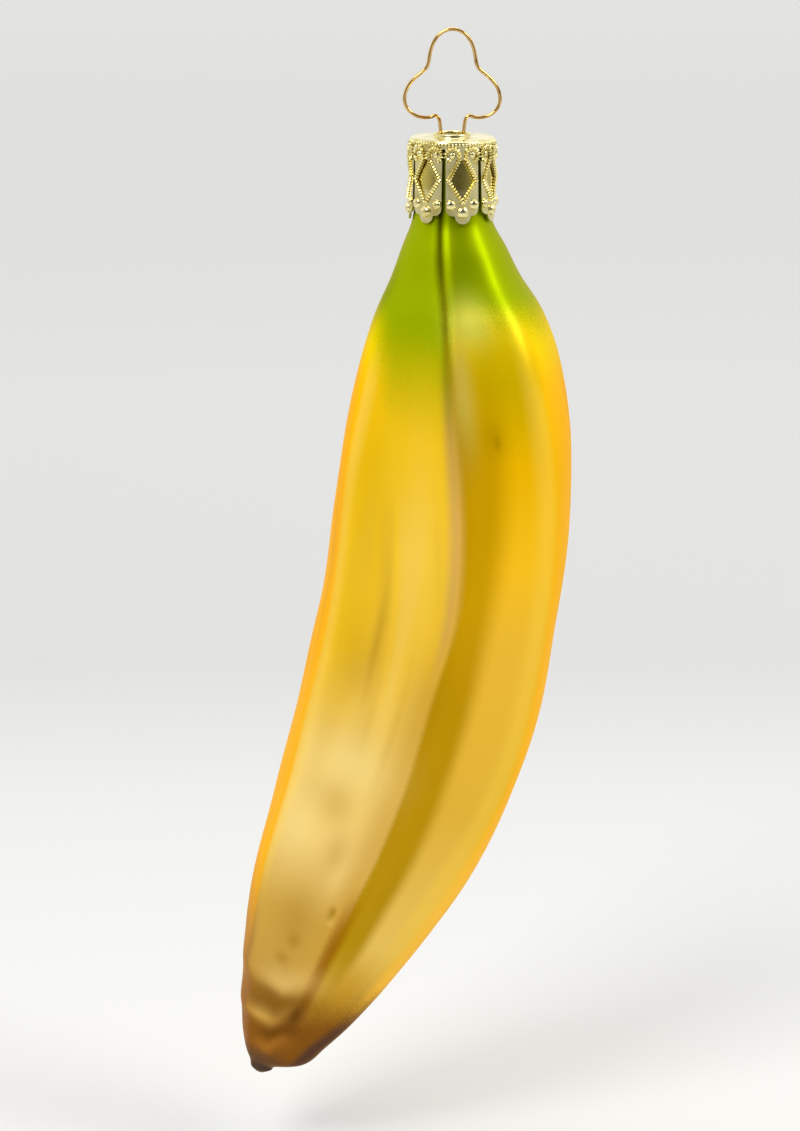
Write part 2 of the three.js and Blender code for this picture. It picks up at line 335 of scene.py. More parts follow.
def make_skin():
    """The glass as one closed shell: the painted outside, the neck's rim and the hollow inside."""
    turns = -180 + 360 * np.arange(SKIN_AROUND) / SKIN_AROUND
    places = np.linspace(0, 1, SKIN_ALONG)
    rings, downs = zip(*[glass_ring(place, turns, 0) for place in places])
    outside = np.array(rings)
    downs = np.array(downs)
    round_step = np.roll(outside, -1, 1) - np.roll(outside, 1, 1)
    down_step = np.gradient(outside, axis=0)
    normal = np.cross(down_step, round_step)
    normal /= np.maximum(np.linalg.norm(normal, axis=2, keepdims=True), 1e-9)
    outside += normal * relief(turns[None, :], downs[:, None])[..., None]
    hollow_places = np.linspace(HOLLOW_SHARE, 0, HOLLOW_ALONG)
    inside = [glass_ring(place, turns, WALL)[0] for place in hollow_places]
    rows = [*inside, *outside]
    row_down = [*np.linspace(-TIP, -NECK_TOP, HOLLOW_ALONG), *downs]
    points = np.concatenate(rows)
    faces = []
    uvs = []
    for row in range(len(rows) - 1):
        upper = row * SKIN_AROUND
        lower = upper + SKIN_AROUND
        for k in range(SKIN_AROUND):
            after = (k + 1) % SKIN_AROUND
            faces.append((upper + k, lower + k, lower + after, upper + after))
            left = k / SKIN_AROUND
            right = (k + 1) / SKIN_AROUND
            top = (row_down[row] + TIP) / (TIP - NECK_TOP)
            low = (row_down[row + 1] + TIP) / (TIP - NECK_TOP)
            uvs += [(left, top), (left, low), (right, low), (right, top)]
    last_ring = len(points) - SKIN_AROUND
    faces.append(tuple(range(SKIN_AROUND)))
    faces.append(tuple(last_ring + k for k in reversed(range(SKIN_AROUND))))
    uvs += [(0.5, 0)] * (2 * SKIN_AROUND)
    mesh = mesh_of("glass_skin", points, faces)
    layer = mesh.uv_layers.new(name="Skin")
    layer.data.foreach_set("uv", np.array(uvs, np.float32).ravel())
    shell = bmesh.new()
    shell.from_mesh(mesh)
    bmesh.ops.recalc_face_normals(shell, faces=shell.faces)
    shell.to_mesh(mesh)
    shell.free()
    shade(mesh, SKIN_SHARP_ANGLE)
    return link("glass_skin", mesh)


# Node trees for what repeats
def group_tree(name, inputs):
    """An empty Geometry Nodes tree with a Geometry input, the given inputs, and a Geometry output."""
    tree = bpy.data.node_groups.new(name, "GeometryNodeTree")
    tree.interface.new_socket("Geometry", in_out="INPUT", socket_type="NodeSocketGeometry")
    for label, kind in inputs:
        tree.interface.new_socket(label, in_out="INPUT", socket_type=kind)
    tree.interface.new_socket("Geometry", in_out="OUTPUT", socket_type="NodeSocketGeometry")
    start = tree.nodes.new("NodeGroupInput")
    stop = tree.nodes.new("NodeGroupOutput")
    return tree, start, stop


def finish_tree(tree, start, stop, instances):
    """Makes the copies real and gives them the finish."""
    real = tree.nodes.new("GeometryNodeRealizeInstances")
    finish = tree.nodes.new("GeometryNodeSetMaterial")
    tree.links.new(instances, real.inputs["Geometry"])
    tree.links.new(real.outputs["Geometry"], finish.inputs["Geometry"])
    tree.links.new(start.outputs["Finish"], finish.inputs["Material"])
    tree.links.new(finish.outputs["Geometry"], stop.inputs["Geometry"])


def ring_tree():
    """Copies of a shape turned evenly about the upright axis."""
    tree, start, stop = group_tree("ring_of_copies", [
        ("Count", "NodeSocketInt"), ("First Turn", "NodeSocketFloat"), ("Finish", "NodeSocketMaterial"),
    ])
    spots = tree.nodes.new("GeometryNodeMeshLine")
    spots.inputs["Offset"].default_value = (0, 0, 0)
    index = tree.nodes.new("GeometryNodeInputIndex")
    share = tree.nodes.new("ShaderNodeMath")
    share.operation = "DIVIDE"
    turn = tree.nodes.new("ShaderNodeMath")
    turn.operation = "MULTIPLY_ADD"
    turn.inputs[1].default_value = 2 * math.pi
    spin = tree.nodes.new("ShaderNodeCombineXYZ")
    copies = tree.nodes.new("GeometryNodeInstanceOnPoints")
    tree.links.new(start.outputs["Count"], spots.inputs["Count"])
    tree.links.new(index.outputs["Index"], share.inputs[0])
    tree.links.new(start.outputs["Count"], share.inputs[1])
    tree.links.new(share.outputs[0], turn.inputs[0])
    tree.links.new(start.outputs["First Turn"], turn.inputs[2])
    tree.links.new(turn.outputs[0], spin.inputs["Z"])
    tree.links.new(spots.outputs["Mesh"], copies.inputs["Points"])
    tree.links.new(start.outputs["Geometry"], copies.inputs["Instance"])
    tree.links.new(spin.outputs["Vector"], copies.inputs["Rotation"])
    finish_tree(tree, start, stop, copies.outputs["Instances"])
    return tree


def rope_tree():
    """Short flat beads set close along paths, which read as the turns of a rope."""
    tree, start, stop = group_tree("rope_along_path", [
        ("Pitch", "NodeSocketFloat"), ("Radius", "NodeSocketFloat"), ("Finish", "NodeSocketMaterial"),
    ])
    path = tree.nodes.new("GeometryNodeMeshToCurve")
    spots = tree.nodes.new("GeometryNodeResampleCurve")
    spots.mode = "LENGTH"
    strand = tree.nodes.new("GeometryNodeMeshUVSphere")
    strand.inputs["Segments"].default_value = STRAND_SEGMENTS
    strand.inputs["Rings"].default_value = STRAND_RINGS
    squash = tree.nodes.new("GeometryNodeTransform")
    squash.inputs["Scale"].default_value = (1, 1, STRAND_FLATNESS)
    tangent = tree.nodes.new("GeometryNodeInputTangent")
    aim = tree.nodes.new("FunctionNodeAlignRotationToVector")
    aim.axis = "Z"
    copies = tree.nodes.new("GeometryNodeInstanceOnPoints")
    tree.links.new(start.outputs["Geometry"], path.inputs["Mesh"])
    tree.links.new(path.outputs["Curve"], spots.inputs["Curve"])
    tree.links.new(start.outputs["Pitch"], spots.inputs["Length"])
    tree.links.new(start.outputs["Radius"], strand.inputs["Radius"])
    tree.links.new(strand.outputs["Mesh"], squash.inputs["Geometry"])
    tree.links.new(tangent.outputs["Tangent"], aim.inputs["Vector"])
    tree.links.new(spots.outputs["Curve"], copies.inputs["Points"])
    tree.links.new(squash.outputs["Geometry"], copies.inputs["Instance"])
    tree.links.new(aim.outputs["Rotation"], copies.inputs["Rotation"])
    finish_tree(tree, start, stop, copies.outputs["Instances"])
    return tree


def grown(mesh, tree, values):
    """The plain mesh that a node tree makes from a mesh, with the tree's inputs set by name."""
    carrier = link("carrier", mesh)
    modifier = carrier.modifiers.new("grow", "NODES")
    modifier.node_group = tree
    for socket in tree.interface.items_tree:
        if socket.in_out == "INPUT" and socket.name in values:
            modifier[socket.identifier] = values[socket.name]
    seen = carrier.evaluated_get(bpy.context.evaluated_depsgraph_get())
    result = bpy.data.meshes.new_from_object(seen)
    carrier.modifiers.remove(modifier)
    bpy.data.objects.remove(carrier)
    return result


# The stamped cap
def skirt_radius(z):
    """The radius of the skirt's outer face at a height."""
    top = CAP_TOP - CAP_RIM_HEIGHT
    return lerp(SKIRT_RADIUS_TOP, SKIRT_RADIUS_BOTTOM, (top - z) / (top - TAB_TIP))


def on_skirt(across, z, proud=0.0):
    """A point on the tab that faces the front, from its place across the tab and its height."""
    radius = skirt_radius(z)
    angle = across / radius
    return np.array([(radius + proud) * math.sin(angle), -(radius + proud) * math.cos(angle), z])


def tab_bottom(across, half):
    """The scalloped lower edge of a tab: two rounded corners and a lobe in the middle."""
    lobe = TAB_SIDE_BOTTOM - TAB_TIP
    edge = TAB_SIDE_BOTTOM
    past = abs(across) - (half - TAB_CORNER)
    if past > 0:
        edge = TAB_SIDE_BOTTOM + TAB_CORNER - math.sqrt(max(TAB_CORNER**2 - past**2, 0))
    if abs(across) < lobe:
        edge = min(edge, TAB_SIDE_BOTTOM - math.sqrt(lobe**2 - across**2))
    return edge


def pressed(across, z):
    """How far the field inside a tab's diamond is pressed in, deepest at its top."""
    heights = [DIAMOND_BOTTOM[1], DIAMOND_SIDE[1], DIAMOND_TOP[1]]
    reach = np.interp(z, heights, [DIAMOND_BOTTOM[0], DIAMOND_SIDE[0], DIAMOND_TOP[0]], 0, 0)
    if abs(across) >= reach:
        return 0.0
    return DIAMOND_PRESS * (z - DIAMOND_BOTTOM[1]) / (DIAMOND_TOP[1] - DIAMOND_BOTTOM[1])


def tab_plate():
    """One tab as a curved sheet with its scalloped edge and its pressed diamond."""
    half = SKIRT_RADIUS_BOTTOM * math.sin(math.pi / TAB_COUNT) - SLIT_WIDTH / 2
    top = CAP_TOP - CAP_RIM_HEIGHT / 2
    points = []
    faces = []
    for proud in (0, -CAP_SHEET):
        for column in range(TAB_COLUMNS + 1):
            across = lerp(-half, half, column / TAB_COLUMNS)
            bottom = tab_bottom(across, half)
            for row in range(TAB_ROWS + 1):
                z = lerp(top, bottom, row / TAB_ROWS)
                points.append(on_skirt(across, z, proud - pressed(across, z)))
    per_side = (TAB_COLUMNS + 1) * (TAB_ROWS + 1)
    for column in range(TAB_COLUMNS):
        for row in range(TAB_ROWS):
            a = column * (TAB_ROWS + 1) + row
            b = a + TAB_ROWS + 1
            faces.append((a, a + 1, b + 1, b))
            faces.append((per_side + a, per_side + b, per_side + b + 1, per_side + a + 1))
    rim = [column * (TAB_ROWS + 1) for column in range(TAB_COLUMNS + 1)]
    rim += [TAB_COLUMNS * (TAB_ROWS + 1) + row for row in range(1, TAB_ROWS + 1)]
    rim += [column * (TAB_ROWS + 1) + TAB_ROWS for column in reversed(range(TAB_COLUMNS))]
    rim += reversed(range(1, TAB_ROWS))
    for a, b in zip(rim, rim[1:] + rim[:1]):
        faces.append((a, b, per_side + b, per_side + a))
    return mesh_of("tab_plate", points, faces)


def lump(name, middle, radii, segments, rings):
    """A closed ball round a middle point, with a radius of its own along each axis."""
    points = [(0, 0, 1)]
    for ring in range(1, rings):
        slope = math.pi * ring / rings
        for k in range(segments):
            turn = 2 * math.pi * k / segments
            across = math.sin(slope)
            points.append((across * math.cos(turn), across * math.sin(turn), math.cos(slope)))
    points.append((0, 0, -1))
    bottom = len(points) - 1
    lowest = bottom - segments
    faces = []
    for k in range(segments):
        after = (k + 1) % segments
        faces.append((0, 1 + k, 1 + after))
        for upper in range(1, lowest, segments):
            lower = upper + segments
            faces.append((upper + k, lower + k, lower + after, upper + after))
        faces.append((lowest + k, bottom, lowest + after))
    return mesh_of(name, np.array(points) * radii + middle, faces)


def bead(across, z, radius):
    """A domed bead pressed out of the front tab."""
    radii = (radius, BEAD_FLATNESS * radius, radius)
    return lump("bead", on_skirt(across, z), radii, BEAD_SEGMENTS, BEAD_RINGS)


def rope_paths():
    """The two diamond lines of a tab, each running up into a scroll round its eye, as edges."""
    points = []
    edges = []
    turns = [math.pi - SCROLL_SWEEP * k / SCROLL_STEPS for k in range(SCROLL_STEPS + 1)]
    for side in (-1, 1):
        scroll = [
            (EYE_BEAD[0] + SCROLL_RADIUS * math.cos(turn), EYE_BEAD[1] + SCROLL_RADIUS * math.sin(turn))
            for turn in turns
        ]
        for route in ([DIAMOND_BOTTOM, DIAMOND_SIDE], [DIAMOND_SIDE, DIAMOND_TOP, *scroll]):
            first = len(points)
            points += [on_skirt(side * across, z, ROPE_PROUD) for across, z in route]
            edges += [(k, k + 1) for k in range(first, len(points) - 1)]
    mesh = bpy.data.meshes.new("rope_paths")
    mesh.from_pydata((np.array(points) * MM).tolist(), edges, [])
    return mesh


def turned(name, profile, steps):
    """A solid of revolution about the upright axis from a closed profile of (radius, z) points."""
    points = []
    faces = []
    count = len(profile)
    for k in range(steps):
        angle = 2 * math.pi * k / steps
        points += [(radius * math.cos(angle), radius * math.sin(angle), z) for radius, z in profile]
        for row in range(count):
            after = (row + 1) % count
            next_k = (k + 1) % steps
            faces.append((k * count + row, next_k * count + row, next_k * count + after, k * count + after))
    return mesh_of(name, points, faces)


def arc(middle, radius, start, stop, steps=6):
    """Points on an arc of a profile between two angles in degrees."""
    angles = np.radians(np.linspace(start, stop, steps))
    return [(middle[0] + radius * math.cos(a), middle[1] + radius * math.sin(a)) for a in angles]


def cap_top():
    """The holed top with its rolled collar and its rounded rim."""
    collar = HOLE_RADIUS + COLLAR_SHEET
    collar_top = CAP_TOP + COLLAR_HEIGHT
    roll = COLLAR_SHEET / 2
    rim_bottom = CAP_TOP - CAP_RIM_HEIGHT
    rounded = (CAP_RIM_RADIUS - RIM_ROUNDING, CAP_TOP - RIM_ROUNDING)
    profile = [
        (HOLE_RADIUS, CAP_TOP - CAP_SHEET),
        *arc((HOLE_RADIUS + roll, collar_top - roll), roll, 180, 0),
        *arc((collar + COLLAR_CURVE, CAP_TOP + COLLAR_CURVE), COLLAR_CURVE, 180, 270),
        *arc(rounded, RIM_ROUNDING, 90, 0),
        (CAP_RIM_RADIUS, rim_bottom),
        (CAP_RIM_RADIUS - CAP_SHEET, rim_bottom),
        (CAP_RIM_RADIUS - CAP_SHEET, CAP_TOP - CAP_SHEET),
    ]
    return turned("cap_top", profile, CAP_STEPS)


def notch():
    """One upright tooth of the milled ring at the rim."""
    middle = (0, -CAP_RIM_RADIUS, CAP_TOP - NOTCH_DROP)
    radii = (NOTCH_RADIUS, NOTCH_RADIUS, NOTCH_STRETCH * NOTCH_RADIUS)
    return lump("notch", middle, radii, NOTCH_SEGMENTS, NOTCH_RINGS)


def make_cap(finish):
    """The stamped cap: its top, a milled ring, and one tab with its relief repeated round the skirt."""
    rope = {"Pitch": ROPE_PITCH * MM, "Radius": ROPE_RADIUS * MM, "Finish": finish}
    skirt = {"Count": TAB_COUNT, "First Turn": math.radians(TAB_TURN), "Finish": finish}
    rim = {"Count": NOTCH_COUNT, "First Turn": 0.0, "Finish": finish}
    ring = ring_tree()
    ropes = grown(rope_paths(), rope_tree(), rope)
    beads = [bead(*MIDDLE_BEAD)]
    for hand in (-1, 1):
        for across, z, radius in (EYE_BEAD, SIDE_BEAD):
            beads.append(bead(hand * across, z, radius))
    tab = merged("tab", [tab_plate(), ropes, *beads])
    tabs = grown(tab, ring, skirt)
    milling = grown(notch(), ring, rim)
    mesh = merged("cap", [cap_top(), tabs, milling])
    mesh.materials.clear()
    mesh.materials.append(finish)
    shade(mesh, CAP_SHARP_ANGLE)
    return link("cap", mesh)


# The wire hanger
def make_wire():
    """The bent wire: a loop of three lobes and two legs that spread inside the neck."""
    middle = WIRE_DIAMETER / 2 - LOOP_RADIUS * (1 + LOOP_LOBING)
    loop = []
    for k in range(LOOP_POINTS + 1):
        turn = math.radians(270 - LOOP_OPEN - (360 - 2 * LOOP_OPEN) * k / LOOP_POINTS)
        radius = LOOP_RADIUS * (1 + LOOP_LOBING * math.cos(LOOP_LOBES * (turn - math.pi / 2)))
        loop.append((radius * math.cos(turn), middle + radius * math.sin(turn)))
    left_leg = [(-x, z) for x, z in reversed(LEG_BENDS)]
    route = [*left_leg, *loop, *LEG_BENDS]
    curve = bpy.data.curves.new("wire", "CURVE")
    curve.dimensions = "3D"
    curve.bevel_depth = WIRE_DIAMETER / 2 * MM
    curve.bevel_resolution = WIRE_ROUND_STEPS
    curve.resolution_u = WIRE_LONG_STEPS
    curve.use_fill_caps = True
    spline = curve.splines.new("BEZIER")
    spline.bezier_points.add(len(route) - 1)
    for point, (x, z) in zip(spline.bezier_points, route):
        point.co = (x * MM, 0, z * MM)
        point.handle_left_type = "AUTO"
        point.handle_right_type = "AUTO"
    carrier = link("wire_route", curve)
    seen = carrier.evaluated_get(bpy.context.evaluated_depsgraph_get())
    mesh = bpy.data.meshes.new_from_object(seen)
    bpy.data.objects.remove(carrier)
    shade(mesh, WIRE_SHARP_ANGLE)
    return link("wire", mesh)


# Materials
def colour(red, green, blue):
    """A screen colour from 0 to 255 as the linear colour that a shader takes."""
    def linear(value):
        share = value / 255
        return share / 12.92 if share <= 0.04045 else ((share + 0.055) / 1.055) ** 2.4
    return (linear(red), linear(green), linear(blue), 1)


class Paint:
    """A material's node tree, built by short calls that take numbers or sockets."""

    def __init__(self, name):
        self.material = bpy.data.materials.new(name)
        self.material.use_nodes = True
        self.nodes = self.material.node_tree.nodes
        self.links = self.material.node_tree.links
        self.shader = self.nodes["Principled BSDF"]

    def put(self, socket, value):
        """Links a socket or sets a number or colour."""
        if isinstance(value, bpy.types.NodeSocket):
            self.links.new(value, socket)
        else:
            socket.default_value = value

    def math(self, operation, a, b=0.0, c=0.0):
        node = self.nodes.new("ShaderNodeMath")
        node.operation = operation
        for socket, value in zip(node.inputs, (a, b, c)):
            self.put(socket, value)
        return node.outputs[0]

    def ease(self, value, start, stop, low=0.0, high=1.0):
        """Eases from low to high as a value goes from start to stop."""
        node = self.nodes.new("ShaderNodeMapRange")
        node.interpolation_type = "SMOOTHSTEP"
        for socket, setting in zip(node.inputs, (value, start, stop, low, high)):
            self.put(socket, setting)
        return node.outputs[0]

    def mix(self, share, below, above):
        """One colour over another. A Mix node's colours are its inputs 6 and 7 and its output 2."""
        node = self.nodes.new("ShaderNodeMix")
        node.data_type = "RGBA"
        self.put(node.inputs[0], share)
        self.put(node.inputs[6], below)
        self.put(node.inputs[7], above)
        return node.outputs[2]

    def noise(self, vector, scale, detail=2.0, stretch=(1, 1, 1)):
        mapping = self.nodes.new("ShaderNodeMapping")
        mapping.inputs["Scale"].default_value = stretch
        self.links.new(vector, mapping.inputs["Vector"])
        node = self.nodes.new("ShaderNodeTexNoise")
        node.inputs["Scale"].default_value = scale
        node.inputs["Detail"].default_value = detail
        self.links.new(mapping.outputs["Vector"], node.inputs["Vector"])
        return node.outputs["Fac"]

    def object_place(self):
        return self.nodes.new("ShaderNodeTexCoord").outputs["Object"]

    def ramp(self, value, stops):
        """Colours at heights along a value that runs from the first stop to the last."""
        low = stops[0][0]
        high = stops[-1][0]
        share = self.math("DIVIDE", self.math("SUBTRACT", value, low), high - low)
        node = self.nodes.new("ShaderNodeValToRGB")
        elements = node.color_ramp.elements
        while len(elements) < len(stops):
            elements.new(0.5)
        for element, (at, tint) in zip(elements, stops):
            element.position = (at - low) / (high - low)
            element.color = tint
        self.links.new(share, node.inputs[0])
        return node.outputs["Color"]

    def bump(self, height, strength, distance):
        node = self.nodes.new("ShaderNodeBump")
        node.inputs["Strength"].default_value = strength
        node.inputs["Distance"].default_value = distance
        self.links.new(height, node.inputs["Height"])
        self.links.new(node.outputs["Normal"], self.shader.inputs["Normal"])


def skin_paint():
    """Airbrushed satin lacquer over silvered glass, laid on by turn from the front ridge and by height."""
    paint = Paint("satin_lacquer")
    uv = paint.nodes.new("ShaderNodeUVMap")
    uv.uv_map = "Skin"
    split = paint.nodes.new("ShaderNodeSeparateXYZ")
    paint.links.new(uv.outputs["UV"], split.inputs[0])
    turn = paint.math("MULTIPLY_ADD", split.outputs["X"], 360, -180)
    down = paint.math("MULTIPLY_ADD", split.outputs["Y"], TIP - NECK_TOP, -TIP)
    place = paint.object_place()
    cloud = paint.math("SUBTRACT", paint.noise(place, CLOUD_SCALE, 3), 0.5)
    grain = paint.math("SUBTRACT", paint.noise(place, GRAIN_SCALE, 1), 0.5)
    skin_place = paint.nodes.new("ShaderNodeCombineXYZ")
    paint.links.new(turn, skin_place.inputs["X"])
    paint.links.new(down, skin_place.inputs["Y"])
    brushed = paint.noise(skin_place.outputs["Vector"], STREAK_SCALE, 0, STREAK_STRETCH)
    streak = paint.math("SUBTRACT", brushed, 0.5)
    turn_angle = paint.math("RADIANS", turn)
    round_place = paint.nodes.new("ShaderNodeCombineXYZ")
    paint.links.new(paint.math("SINE", turn_angle), round_place.inputs["X"])
    paint.links.new(paint.math("COSINE", turn_angle), round_place.inputs["Y"])
    paint.links.new(paint.math("MULTIPLY", down, BACK_STREAK_STRETCH), round_place.inputs["Z"])
    brushed_back = paint.noise(round_place.outputs["Vector"], BACK_STREAK_SCALE, 1)
    back_streak = paint.math("SUBTRACT", brushed_back, 0.5)

    def spot(at_turn, at_down, wide, tall, height=None):
        """A soft bell on the skin, which has faded to a twelfth at the given reaches."""
        sideways = paint.math("DIVIDE", paint.math("SUBTRACT", turn, at_turn), wide)
        upright = paint.math("DIVIDE", paint.math("SUBTRACT", height or down, at_down), tall)
        square = paint.math("MULTIPLY_ADD", sideways, sideways, paint.math("MULTIPLY", upright, upright))
        return paint.math("POWER", BELL_AT_REACH, square)

    def band(value, rise_from, rise_to, fall_from, fall_to):
        """Rises to 1 along a value and falls to 0 again."""
        rising = paint.ease(value, rise_from, rise_to)
        falling = paint.ease(value, fall_from, fall_to, 1.0, 0.0)
        return paint.math("MULTIPLY", rising, falling)

    def both(a, b):
        return paint.math("MULTIPLY", a, b)

    def layer(share, tint, opacity=1.0):
        """Lays one more colour over the coat."""
        nonlocal coat
        coat = paint.mix(both(share, opacity), coat, tint)

    rough_turn = paint.math("MULTIPLY_ADD", grain, 2.4, turn)
    rough_down = paint.math("MULTIPLY_ADD", grain, 6.0, paint.math("MULTIPLY_ADD", cloud, 3.0, down))
    far_turn = paint.math("ABSOLUTE", turn)

    # The two front faces, with the faint upright streaks of the brush
    left_face = paint.ramp(down, [
        (40, colour(240, 194, 4)), (60, colour(250, 202, 30)), (76, colour(253, 206, 50)),
        (92, colour(246, 198, 56)), (104, colour(248, 208, 100)), (112, colour(248, 212, 118)),
        (123, colour(246, 209, 122)), (134, colour(212, 170, 76)), (150, colour(192, 148, 60)),
    ])
    right_face = paint.ramp(down, [
        (40, colour(224, 196, 0)), (50, colour(218, 184, 0)), (62, colour(248, 190, 2)),
        (76, colour(250, 194, 30)), (88, colour(238, 187, 54)), (112, colour(228, 182, 60)),
        (134, colour(240, 202, 98)), (146, colour(214, 166, 56)),
    ])
    coat = paint.mix(paint.ease(turn, -3, 4), left_face, right_face)
    streaked = both(band(down, 62, 80, 104, 118), paint.ease(turn, -4, -14))
    layer(both(paint.ease(streak, 0.0, 0.22), streaked), colour(250, 212, 104), 0.4)
    layer(both(paint.ease(streak, 0.0, -0.22), streaked), colour(204, 156, 36), 0.3)
    layer(both(band(turn, -68, -60, -50, -36), band(down, 46, 56, 90, 112)), colour(238, 187, 2), 0.6)

    # The orange sides and pale side ridges, which are painted shade and painted highlights, and the back
    left_edge = paint.ease(down, 50, 76, -55.0, -64.5)
    from_left_edge = paint.math("SUBTRACT", turn, left_edge)
    # Painted shade: the faces turned away to the sides take the deeper orange of their shaded edges, paler
    # low on the right
    layer(paint.ease(from_left_edge, 1.5, -6), colour(255, 188, 0))
    from_right_edge = paint.math("SUBTRACT", turn, paint.ease(down, 100, 132, 46.0, 38.0))
    layer(paint.ease(from_right_edge, -1, 9), colour(255, 193, 14))
    layer(both(paint.ease(from_right_edge, -1, 9), paint.ease(down, 106, 128)), colour(255, 206, 92), 0.75)
    # Painted highlights: paler lines down both side ridges, where they catch the light
    ridge_height = band(down, 42, 52, 128, 142)
    layer(both(band(from_left_edge, -5.0, -1.0, 1.0, 7.0), ridge_height), colour(248, 208, 90), 0.42)
    layer(both(band(from_right_edge, -11, -3, 0, 7), ridge_height), colour(252, 210, 76), 0.4)
    # Painted highlight on the right ridge just below the neck
    layer(spot(46, 40.5, 12, 7), colour(228, 216, 62), 0.5)
    beside = band(far_turn, 62, 84, 96, 134)
    layer(both(beside, paint.ease(back_streak, 0.0, 0.25)), colour(255, 210, 84), 0.4)
    layer(both(beside, paint.ease(back_streak, 0.0, -0.25)), colour(228, 158, 10), 0.4)
    back = paint.ease(far_turn, 96, 134)
    layer(back, colour(242, 194, 52))
    layer(both(back, paint.ease(back_streak, 0.0, 0.25)), colour(250, 212, 104), 0.45)
    layer(both(back, paint.ease(back_streak, 0.0, -0.25)), colour(206, 156, 34), 0.35)
    layer(both(back, paint.ease(rough_down, 112, 136)), colour(222, 176, 70), 0.7)

    # The olive band beside the front ridge, airbrushed olive and painted shade, with painted shade left of it
    line_at = paint.ease(down, 84, 100, -2.0, -5.5)
    past_line = paint.math("SUBTRACT", rough_turn, line_at)
    shade_beside_line = both(band(past_line, -20.0, -1.0, 4.0, 8.0), band(down, 84, 98, 132, 144))
    layer(shade_beside_line, colour(202, 152, 44), 0.6)
    olive_full = paint.ease(down, 58, 82, 15.0, 9.0)
    olive_end = paint.ease(down, 58, 106, 33.0, 20.0)
    olive_and_shade = both(paint.ease(past_line, -0.8, 2.4), paint.ease(turn, olive_end, olive_full))
    olive_and_shade_tint = paint.ramp(down, [
        (46, colour(196, 166, 0)), (62, colour(202, 154, 0)), (82, colour(201, 152, 0)),
        (96, colour(187, 141, 0)), (142, colour(184, 144, 0)),
    ])
    layer(both(olive_and_shade, band(down, 41, 50, 134, 149)), olive_and_shade_tint, 0.94)

    # The airbrushed line down the front ridge, and faint ones down the back ridges
    line_wide = paint.ease(down, 80, 96, 6.0, 3.2)
    from_line = paint.math("ABSOLUTE", paint.math("ADD", past_line, 1.2))
    line_tint = paint.ramp(down, [
        (40, colour(150, 130, 10)), (48, colour(158, 128, 24)), (58, colour(208, 164, 76)),
        (72, colour(224, 176, 90)), (98, colour(214, 166, 66)),
    ])
    line_strength = paint.ease(down, 86, 98, 0.9, 0.0)
    layer(both(paint.ease(from_line, line_wide, 0.0), line_strength), line_tint)
    from_tip_line = paint.math("ABSOLUTE", paint.math("SUBTRACT", past_line, 1.0))
    tip_line = both(paint.ease(from_tip_line, 7.0, 1.0), band(down, 124, 136, 144, 150))
    layer(tip_line, colour(156, 100, 12), 0.85)
    rough_far_turn = paint.math("ABSOLUTE", rough_turn)
    from_back_line = paint.math("ABSOLUTE", paint.math("SUBTRACT", rough_far_turn, 127.0))
    layer(both(paint.ease(from_back_line, 6.0, 0.0), ridge_height), colour(196, 148, 50), 0.75)

    # Pale patches, which are painted reflections, painted shade and highlight at the dimple, soft smudges and
    # small marks
    for tint, opacity, mark in [
        # Painted reflections: pale patches, where the satin skin mirrors the bright floor
        (colour(216, 190, 76), 0.85, (4.5, 51, 8, 12)),
        (colour(252, 224, 140), 0.6, (-36, 109.5, 32, 6.5)),
        (colour(252, 224, 140), 0.6, (-52, 121.5, 18, 8)),
        (colour(250, 222, 136), 0.4, (-20, 126, 8, 4)),
        # Painted highlight: a broad light patch on the left face
        (colour(252, 210, 84), 0.5, (-20, 76, 14, 26)),
        # Soft smudges and small marks of the lacquer
        (colour(196, 148, 36), 0.6, (-38, 90, 4.5, 16)),
        (colour(196, 150, 44), 0.3, (-44, 96, 12, 9)),
        (colour(206, 160, 60), 0.42, (-36, 116.5, 16, 4.5)),
        (colour(190, 144, 44), 0.36, (-27, 122.8, 11, 4.5)),
        (colour(176, 130, 0), 0.4, (19, 57.5, 9, 3.4)),
        (colour(120, 92, 0), 0.26, (20.5, 58.4, 2.8, 1.5)),
        # Painted shade in the dimple and a painted highlight on its lower lip
        (colour(172, 126, 10), 0.75, (-14, 131.0, 3.4, 1.3)),
        (colour(236, 196, 104), 0.6, (-12.5, 132.5, 3.4, 0.9)),
        # More smudges and marks
        (colour(168, 124, 30), 0.4, (-34, 134, 26, 8)),
        (colour(160, 116, 20), 0.45, (-31, 137.6, 8, 1.8)),
        (colour(156, 112, 18), 0.45, (-36, 141.0, 9, 1.6)),
        (colour(200, 152, 44), 0.5, (156, 88, 4, 18)),
        (colour(200, 152, 44), 0.45, (-150, 72, 4, 14)),
        # Painted reflections: pale patches on the back
        (colour(252, 220, 128), 0.5, (150, 108, 22, 9)),
        (colour(252, 220, 128), 0.45, (-156, 96, 18, 12)),
    ]:
        layer(spot(*mark), tint, opacity)

    # The green neck
    on_right = paint.ease(turn, -4, 4)
    green_end = paint.math("MULTIPLY_ADD", on_right, -15.5, paint.ease(turn, -62, -38, 46.0, 60.5))
    green_full = paint.math("MULTIPLY_ADD", on_right, -2.0, paint.ease(turn, -62, -38, 38.0, 40.0))
    lime = paint.mix(band(turn, 2, 8, 32, 46), colour(146, 165, 0), colour(126, 142, 0))
    yellowed = both(paint.ease(far_turn, 44, 58), paint.ease(far_turn, 100, 130, 1.0, 0.45))
    layer(paint.ease(rough_down, 53, 44), colour(236, 208, 0), yellowed)
    layer(paint.ease(rough_down, green_end, green_full), lime)
